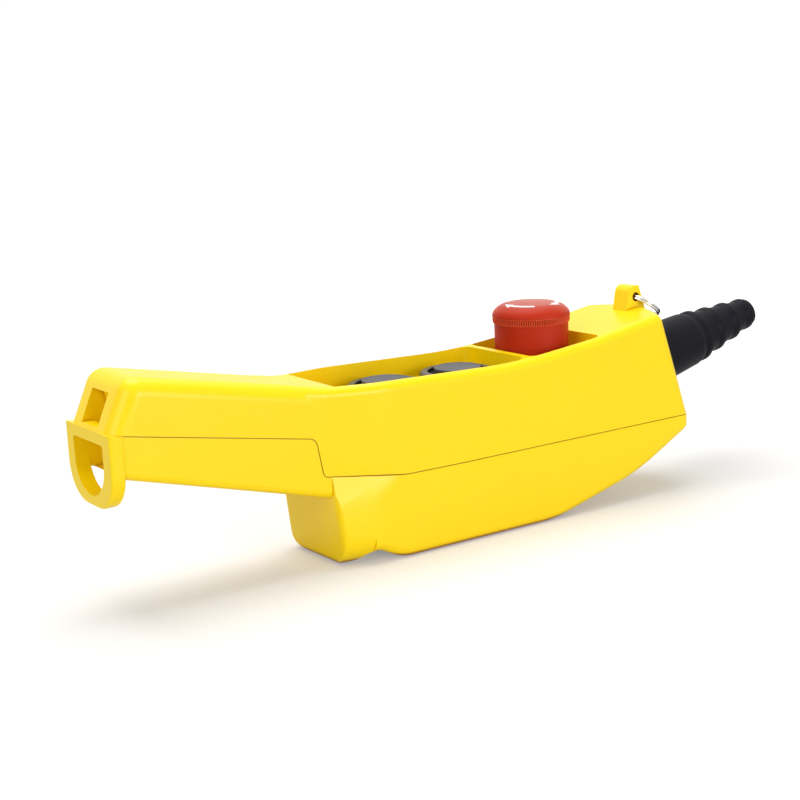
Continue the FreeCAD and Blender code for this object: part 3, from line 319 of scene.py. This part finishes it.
def paint_top_sheen(material, least, most):
    """Painted reflection: sheen that grows from none to most as the surface turns to face up, once the
    upward part of its normal is over least, so that upward faces look pale as if reflecting the light above."""
    tree = material.node_tree
    shader = tree.nodes["Principled BSDF"]
    facing = add_node(tree, "TexCoord")
    upward = add_node(tree, "SeparateXYZ")
    # Painted reflection: the more the surface faces up, the more sheen
    top_sheen = add_node(tree, "MapRange", From_Min=least, To_Min=0.0, To_Max=most)
    tree.links.new(facing.outputs["Normal"], upward.inputs[0])
    tree.links.new(upward.outputs["Z"], top_sheen.inputs["Value"])
    tree.links.new(top_sheen.outputs["Result"], shader.inputs["Sheen Weight"])
    shader.inputs["Sheen Roughness"].default_value = 0.4
    shader.inputs["Sheen Tint"].default_value = (1.0, 0.84, 0.74, 1.0)


def paint_band_highlight(material, color, height, half):
    """Painted highlight: turns the base colour to a paler one within half of a height, as if the band
    caught the light.
    """
    tree = material.node_tree
    entry = tree.nodes["Principled BSDF"].inputs["Base Color"]
    plain = entry.links[0].from_socket
    where = add_node(tree, "TexCoord")
    spot = add_node(tree, "SeparateXYZ")
    band = add_node(tree, "Math", "COMPARE")
    band.inputs[1].default_value = height * MM
    band.inputs[2].default_value = half * MM
    tree.links.new(where.outputs["Object"], spot.inputs[0])
    tree.links.new(spot.outputs["Z"], band.inputs[0])
    # Painted highlight: the paler colour within the band
    band_light = add_mix(tree, band.outputs[0])
    tree.links.new(plain, band_light.inputs["A"])
    band_light.inputs["B"].default_value = (*color, 1.0)
    tree.links.new(band_light.outputs["Result"], entry)


# Materials

YELLOW = moulded("yellow_housing", (1.0, 0.725, 0.0), (1.0, 0.69, 0.0), 0.34, 700.0, 0.06, soft=0.08,
                 specular=0.32)
# Painted shade: the yellow turns dark amber in grooves, recesses and corners
paint_crevice_shade(YELLOW, (0.36, 0.09, 0.0), distance=4.0)
RED = moulded("red_stop", (0.50, 0.030, 0.006), (0.44, 0.024, 0.004), 0.45, 1100.0, 0.08, specular=0.12)
# Painted reflection: pale sheen on the stop's upward faces
paint_top_sheen(RED, least=0.35, most=0.5)
# Painted highlight: a paler band on the grip ring, where its teeth catch the light
paint_band_highlight(RED, (0.66, 0.075, 0.024), height=88.9, half=1.6)
# Painted shade: the red turns near black between the grip teeth and in other closed-in places
paint_crevice_shade(RED, (0.09, 0.004, 0.0), distance=1.2)
BLACK = moulded("black_plastic", (0.018, 0.018, 0.021), (0.024, 0.024, 0.028), 0.38, 1000.0, 0.08)
GUARD = moulded("guard_plastic", (0.030, 0.027, 0.024), (0.038, 0.034, 0.030), 0.36, 1000.0, 0.08,
                specular=0.65)
CAP = moulded("cap_plastic", (0.05, 0.052, 0.06), (0.04, 0.042, 0.05), 0.46, 1400.0, 0.10)
RUBBER = moulded("sleeve_rubber", (0.007, 0.007, 0.011), (0.011, 0.011, 0.015), 0.44, 600.0, 0.10,
                 specular=0.06)
GREY = moulded("grey_plastic", (0.05, 0.05, 0.055), (0.06, 0.06, 0.065), 0.5)
STEEL = moulded("bright_steel", (0.78, 0.77, 0.75), (0.66, 0.65, 0.64), 0.20, 1500.0, 0.03, metallic=1.0)
BRASS = moulded("brass_metal", (0.80, 0.58, 0.22), (0.70, 0.50, 0.20), 0.30, 1500.0, 0.03, metallic=1.0)
WHITE = moulded("white_print", (0.80, 0.78, 0.76), (0.74, 0.71, 0.69), 0.5, 1500.0, 0.04)


def dress(obj, material):
    """Gives the object one material."""
    obj.data.materials.clear()
    obj.data.materials.append(material)


def mount(piece, body, slot, material, *nodes):
    """Puts a finished piece on its body in place of the CAD nodes it stands for."""
    dress(piece, material)
    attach(piece, body)
    if nodes:
        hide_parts(*nodes)


# CAD nodes that keep their shape

NODE_MATERIALS = {
    "shell_seal": RUBBER, "housing_screws": STEEL, "cable_clamp": BLACK, "clamp_screws": STEEL,
    "terminal_screws": BRASS, "stop_stem": GREY, "stop_collar": BLACK,
}
for control in ("lower", "raise", "stop"):
    for part, material in (("nut", BLACK), ("spring", STEEL), ("contact_block", GREY),
                           ("contact_strips", BRASS), ("contact_bridge", BRASS)):
        NODE_MATERIALS[control + "_" + part] = material
for button in BUTTONS:
    NODE_MATERIALS[button + "_rod"] = GREY
for node, material in NODE_MATERIALS.items():
    dress(frame["nodes"][node], material)


# Housing shells

SHELL_ANGLE = 34.0


def smoothed(node, name, angle):
    """A welded copy of a CAD node's mesh, shaded smooth up to an angle. Each normal is the mean of the
    faces around it weighed by their areas, so flat faces stay flat beside their rounded edges."""
    mesh = frame["nodes"][node].data.copy()
    mesh.attributes.remove(mesh.attributes["custom_normal"])
    piece = finish_mesh(name, mesh, angle)
    weigh = piece.modifiers.new("weigh", "WEIGHTED_NORMAL")
    weigh.weight = 100
    weigh.keep_sharp = True
    graph = bpy.context.evaluated_depsgraph_get()
    piece.data = bpy.data.meshes.new_from_object(
        piece.evaluated_get(graph), preserve_all_data_layers=True, depsgraph=graph)
    piece.modifiers.clear()
    return piece


for node in ("front_shell", "rear_shell"):
    mount(smoothed(node, node + "_smooth", SHELL_ANGLE), "housing", node, YELLOW, node)


# Push buttons

RECESS_FLOOR_Z = 61.0
COLLAR_RADIUS = 17.0
COLLAR_ROUND = 2.6
COLLAR_BORE = 11.0
COLLAR_REST_Z = 59.8
NECK_RADIUS = 12.6
NECK_BORE = 8.6
BOOT_SEAT_RADIUS = 13.4
BOOT_SEAT_Z = 66.5
BOOT_RADIUS = 13.3
BOOT_BORE = 10.85
CAP_RADIUS = 10.5
CAP_WALL = 1.5
CAP_THICK = 2.0


def guard_profile(low, top):
    """Guard collar with a rounded outer rim, a seat for the rubber lip and the neck under it."""
    return [
        (NECK_RADIUS, low), (NECK_RADIUS, RECESS_FLOOR_Z), (COLLAR_RADIUS, RECESS_FLOOR_Z, 0.3),
        (COLLAR_RADIUS, top, COLLAR_ROUND), (BOOT_SEAT_RADIUS, top, 0.5), (BOOT_SEAT_RADIUS, BOOT_SEAT_Z),
        (COLLAR_BORE, BOOT_SEAT_Z), (COLLAR_BORE, COLLAR_REST_Z), (NECK_BORE, COLLAR_REST_Z),
        (NECK_BORE, low), (NECK_RADIUS, low)]


def lip_profile():
    """Rubber lip that slopes in and down from the collar to the cap."""
    return [
        (BOOT_BORE, BOOT_SEAT_Z), (BOOT_RADIUS, BOOT_SEAT_Z), (BOOT_RADIUS, 69.6, 0.4), (12.2, 69.2, 0.6),
        (BOOT_BORE, 68.8, 0.3), (BOOT_BORE, BOOT_SEAT_Z)]


def disc_profile(low, top):
    """Hollow cap with a low rim around a slightly dished face."""
    inner = CAP_RADIUS - CAP_WALL
    return [
        (0.0, top - CAP_THICK), (inner, top - CAP_THICK), (inner, low), (CAP_RADIUS, low),
        (CAP_RADIUS, top, 0.6), (9.6, top), (9.2, top - 0.2, 0.3), (4.0, top - 0.38), (0.0, top - 0.42)]


for button in BUTTONS:
    centre = (CONTROL_X[button], 0.0, 0.0)
    low, high = node_box(button + "_collar")
    guard = lathe("guard_" + button, guard_profile(low[2], high[2]), centre, segments=160)
    mount(guard, "housing", "collars", GUARD, button + "_collar")
    mount(lathe("lip_seal_" + button, lip_profile(), centre), "housing", "boots", RUBBER, button + "_boot")
    low, high = node_box(button + "_cap")
    disc = lathe("disc_" + button, disc_profile(low[2], high[2]), centre, segments=160)
    mount(disc, button + "_button", "caps", CAP, button + "_cap")


# Stop control

STOP_RADIUS = 17.75
RIM_Z = 90.6
CROWN_Z = 96.5
CROWN_SPHERE = 130.0
CROWN_RADIUS = 11.4
SHOULDER_POWER = 1.8
BAND_LOW_Z = 87.4
BAND_HIGH_Z = 90.3
BAND_FADES = (0.4, 0.3)
TEETH = 104
TOOTH = 0.75
TOOTH_MEAN = 0.70
SKIRT_RADIUS = 16.85
SKIRT_BORE = 14.65
CEILING_Z = 88.0
HUB_RADIUS = 6.4
HUB_Z = 80.1
SPIGOT_BORE = 3.7
SPIGOT_TOP_Z = 87.4
ARROWS = 3
ARROW_RADIUS = 11.9
ARROW_HALF = 0.95
BARB_HALF = 2.0
BARB_AT = 0.66
ARROW_SWEEP = -84.0
ARROW_START = -1.0
PRINT = 0.05


def dome_z(r):
    """Height of the dome at radius r: a shallow sphere inside the crown's radius, less a drop to the rim
    outside it. The drop's share is 1 - sqrt(1 - q^n), with q from 0 at the crown to 1 at the rim."""
    shallow = CROWN_Z - r ** 2 / (2.0 * CROWN_SPHERE)
    q = np.clip((r - CROWN_RADIUS) / (STOP_RADIUS - CROWN_RADIUS), 0.0, 1.0)
    return shallow - (shallow - RIM_Z) * (1.0 - np.sqrt(np.clip(1.0 - q ** SHOULDER_POWER, 0.0, 1.0)))


def knurl(r, h, t):
    """Grip band: r + d (|cos(n t / 2)| - m) between the band's limits, plain elsewhere, with n teeth of
    depth d about their mean m."""
    under = np.clip((BAND_HIGH_Z - h) / BAND_FADES[1], 0.0, 1.0)
    over = np.clip((h - BAND_LOW_Z) / BAND_FADES[0], 0.0, 1.0)
    inside = under * over * (r > (SKIRT_BORE + SKIRT_RADIUS) / 2.0)
    return r + inside * TOOTH * (np.abs(np.cos(0.5 * TEETH * t)) - TOOTH_MEAN)


def mushroom_profile(low):
    """Dome, rounded rim, grip band, deep skirt and the hub inside it."""
    shoulder = np.sin(np.linspace(0.04, 0.5, 26) * math.pi)
    crown = np.linspace(0.0, CROWN_RADIUS, 12)
    r = np.concatenate([crown, CROWN_RADIUS + (STOP_RADIUS - CROWN_RADIUS) * shoulder])
    return list(zip(r.tolist(), dome_z(r).tolist())) + [
        (STOP_RADIUS, BAND_HIGH_Z), (17.45, 90.1), (17.4, 87.5), (16.95, 87.1), (SKIRT_RADIUS, low + 0.4),
        (SKIRT_RADIUS - 0.35, low), (SKIRT_BORE, low), (SKIRT_BORE, CEILING_Z), (HUB_RADIUS, CEILING_Z),
        (HUB_RADIUS, HUB_Z), (SPIGOT_BORE, HUB_Z), (SPIGOT_BORE, SPIGOT_TOP_Z), (0.0, SPIGOT_TOP_Z)]


def arrow(name, start):
    """Curved arrow printed on the dome: P(u, v) = (R + w(u) v)(cos a, sin a) with a = start + sweep u,
    w the half width, which widens at the barb and closes at the tip. It lies a print's thickness over
    the dome."""
    step = BARB_AT + 0.0001
    u = np.concatenate([np.linspace(0.0, BARB_AT, 26), [step], np.linspace(0.68, 1.0, 12)])
    w = np.interp(u, [0.0, BARB_AT, step, 1.0], [ARROW_HALF, ARROW_HALF, BARB_HALF, 0.0])
    v = np.linspace(-1.0, 1.0, 7)
    a = start + math.radians(ARROW_SWEEP) * u
    r = ARROW_RADIUS + w[:, None] * v[None, :]
    x = CONTROL_X["stop"] + r * np.cos(a)[:, None]
    return sheet_mesh(name, np.stack([x, r * np.sin(a)[:, None], dome_z(r) + PRINT], -1))


skirt_low = node_box("stop_head")[0][2]
mushroom = lathe("mushroom", mushroom_profile(skirt_low), (CONTROL_X["stop"], 0.0, 0.0), segments=6 * TEETH,
                 ripple=knurl, step=1.3, angle=35.0)
mount(mushroom, "stop_mushroom", "stop_red", RED, "stop_head")
for k in range(ARROWS):
    piece = arrow("turn_arrow_" + str(k + 1), math.radians(360.0 / ARROWS * k + ARROW_START))
    mount(piece, "stop_mushroom", "stop_red", WHITE)


# Return springs

SPRING_RADIUS = {"lower": 6.0, "raise": 6.0, "stop": 4.9}
SPRING_TURNS = 4.0
SPRING_WIRE = 0.4
SPRING_POINTS = 160


def coil(name, x, radius, low, high):
    """Compression spring: P(t) = (x + R cos t, R sin t, z(t)), with z level over half a turn at each end
    and rising evenly between them, in round wire."""
    t = np.linspace(0.0, 2.0 * math.pi * SPRING_TURNS, SPRING_POINTS)
    climb = np.clip((t - math.pi) / (t[-1] - 2.0 * math.pi), 0.0, 1.0)
    z = low + SPRING_WIRE + (high - low - 2.0 * SPRING_WIRE) * climb
    path = np.stack([x + radius * np.cos(t), radius * np.sin(t), z], 1)
    return tube(name, path, SPRING_WIRE, segments=12)


for control, radius in SPRING_RADIUS.items():
    seat, top = node_box(control + "_spring")[0][2], node_box(control + "_spring")[1][2]
    spring = coil("coil_" + control, CONTROL_X[control], radius, seat, top)
    mount(spring, "housing", "springs", STEEL, control + "_spring")
    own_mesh(spring)


# Cable sleeve, with its heights along the axis from where that enters the housing

RISE = math.radians(11.6)
ENTRY = (126.2, 0.0, 60.7)
SLEEVE_LENGTH = 69.0
SLEEVE_BORE = 5.0
# Each bead: its waist, its radius and two edges, and the corner at its foot
BEADS = (
    ((12.2, 28.6), 12.9, (29.7, 32.0), (11.4, 33.2, 1.6)),
    ((10.7, 39.0), 11.2, (40.7, 42.9), (9.9, 44.2, 1.6)),
    ((9.1, 50.6), 9.6, (52.7, 54.9), (8.4, 56.2, 1.6)),
    ((7.5, 61.6), 7.9, (63.6, 66.2), (6.9, 67.2, 0.8)),
)


def sleeve_profile():
    """Tapered sleeve with four round beads, a plain end and an open bore."""
    corners = [(15.0, -4.0), (13.4, 25.0)]
    for waist, bead, edges, foot in BEADS:
        corners += [waist + (2.0,), (bead, edges[0], 0.5), (bead, edges[1], 0.7), foot]
    return corners + [(6.8, SLEEVE_LENGTH, 0.5), (SLEEVE_BORE, SLEEVE_LENGTH, 0.3), (SLEEVE_BORE, 20.0)]


sleeve_axis = (math.cos(RISE), 0.0, math.sin(RISE))
sleeve = lathe("ribbed_sleeve", sleeve_profile(), ENTRY, sleeve_axis, segments=144, step=0.8)
mount(sleeve, "housing", "sleeve", RUBBER, "cable_sleeve")


# Split ring

HANG = math.radians(35.0)
HANG_REACH = 8.83
RING_RADIUS = 9.5
RING_WIRE = 0.6
RING_START = 2.2
RING_STEP = 4.0
RING_POINTS = 260


def ring_path():
    """Two turns of a ring that hangs at a slope: P(a) = C + R (A cos a + Y sin a) + f(a) S, with A down
    the slope, S square to the ring and f a soft step of two wires from one turn to the next."""
    away = np.array([math.cos(HANG), 0.0, -math.sin(HANG)])
    square = np.array([math.sin(HANG), 0.0, math.cos(HANG)])
    centre = np.array(JOINTS["ring_swing"]["pos_m"]) / MM + away * HANG_REACH
    turn = np.linspace(0.0, 4.0 * math.pi, RING_POINTS)
    lift = 2.0 * RING_WIRE * (1.0 / (1.0 + np.exp(-(turn - 2.0 * math.pi) * RING_STEP)) - 0.5)
    a = turn[:, None] + RING_START
    across = np.array([0.0, 1.0, 0.0])
    return centre + RING_RADIUS * (np.cos(a) * away + np.sin(a) * across) + lift[:, None] * square


mount(tube("split_ring_wire", ring_path(), RING_WIRE), "split_ring", "ring", STEEL, "key_ring")


# Studio

FLOOR_X = (-6000.0, 6000.0)
FLOOR_Y = (-3000.0, 9000.0)
FLOOR_Z = -0.02


def floor_sheet():
    """Level floor just under the object that reaches past the picture's edges."""
    x, y = np.meshgrid(np.linspace(*FLOOR_X, 7), np.linspace(*FLOOR_Y, 7), indexing="ij")
    return sheet_mesh("studio_floor", np.stack([x, y, np.full_like(x, FLOOR_Z)], -1))


def paper():
    """Pale paper that also glows for the camera, the more the further it lies from the object, so that it
    keeps the shadow and turns white towards the picture's edges."""
    material = bpy.data.materials.new("paper")
    material.use_nodes = True
    tree = material.node_tree
    shader = tree.nodes["Principled BSDF"]
    shader.inputs["Base Color"].default_value = (0.66, 0.65, 0.64, 1.0)
    shader.inputs["Roughness"].default_value = 0.8
    shader.inputs["Specular IOR Level"].default_value = 0.1
    shader.inputs["Emission Color"].default_value = (1.0, 1.0, 1.0, 1.0)
    where = add_node(tree, "TexCoord")
    reach = add_node(tree, "VectorMath", "LENGTH")
    fade = add_node(tree, "MapRange", From_Min=0.25, From_Max=1.2, To_Min=0.27, To_Max=1.0)
    fade.interpolation_type = "SMOOTHSTEP"
    ray = add_node(tree, "LightPath")
    glow = add_node(tree, "Math", "MULTIPLY")
    tree.links.new(where.outputs["Object"], reach.inputs[0])
    tree.links.new(reach.outputs["Value"], fade.inputs["Value"])
    tree.links.new(ray.outputs["Is Camera Ray"], glow.inputs[0])
    tree.links.new(fade.outputs["Result"], glow.inputs[1])
    tree.links.new(glow.outputs[0], shader.inputs["Emission Strength"])
    return material


def studio_world():
    """White surroundings for the camera and for reflections, dim ones as a light on the object."""
    world = bpy.data.worlds.new("studio")
    world.use_nodes = True
    tree = world.node_tree
    air = tree.nodes["Background"]
    air.inputs["Color"].default_value = (1.0, 1.0, 1.0, 1.0)
    ray = add_node(tree, "LightPath")
    seen = add_node(tree, "Math", "MAXIMUM")
    level = add_node(tree, "MapRange", To_Min=0.32, To_Max=1.03)
    tree.links.new(ray.outputs["Is Camera Ray"], seen.inputs[0])
    tree.links.new(ray.outputs["Is Glossy Ray"], seen.inputs[1])
    tree.links.new(seen.outputs[0], level.inputs["Value"])
    tree.links.new(level.outputs["Result"], air.inputs["Strength"])
    return world


def lamp(name, place, target, size, power):
    """Square soft light at place, facing target, with its lengths in metres."""
    data = bpy.data.lights.new(name, "AREA")
    data.shape = "SQUARE"
    data.size = size
    data.energy = power
    light = bpy.data.objects.new(name, data)
    light.location = place
    light.rotation_euler = (Vector(target) - Vector(place)).to_track_quat("-Z", "Y").to_euler()
    bpy.context.scene.collection.objects.link(light)


floor = floor_sheet()
dress(floor, paper())
lamp("top_light", (0.05, 0.25, 1.3), (-0.03, 0.0, 0.03), 1.1, 16.6)
lamp("front_light", (0.30, -1.40, 0.28), (0.0, 0.0, 0.05), 0.55, 8.8)
lamp("left_light", (-1.3, -0.5, 0.6), (0.0, 0.0, 0.03), 0.8, 6.2)
bpy.context.scene.world = studio_world()
bpy.context.scene.view_settings.view_transform = "Standard"


# Camera at the photograph's angle, with its place in metres

AZIMUTH = math.radians(-34.182)
ELEVATION = math.radians(11.935)
ROLL = math.radians(-2.471)
CAMERA_PLACE = (-0.394529, -0.550018, 0.202497)
CAMERA_LENS = 70.29


def photo_camera():
    """Camera at its place, turned to the azimuth, tipped down by the elevation and rolled."""
    level = math.cos(ELEVATION)
    back = Vector((math.sin(AZIMUTH) * level, -math.cos(AZIMUTH) * level, math.sin(ELEVATION)))
    right = (-back).cross(Vector((0.0, 0.0, 1.0))).normalized()
    up = right.cross(-back)
    across = right * math.cos(ROLL) + up * math.sin(ROLL)
    upward = up * math.cos(ROLL) - right * math.sin(ROLL)
    camera = bpy.data.objects.new("camera", bpy.data.cameras.new("camera"))
    camera.data.lens = CAMERA_LENS
    camera.data.sensor_width = 36.0
    facing = Matrix((across, upward, back)).transposed().to_4x4()
    camera.matrix_world = Matrix.Translation(CAMERA_PLACE) @ facing
    bpy.context.scene.collection.objects.link(camera)
    return camera


bpy.context.scene.camera = photo_camera()
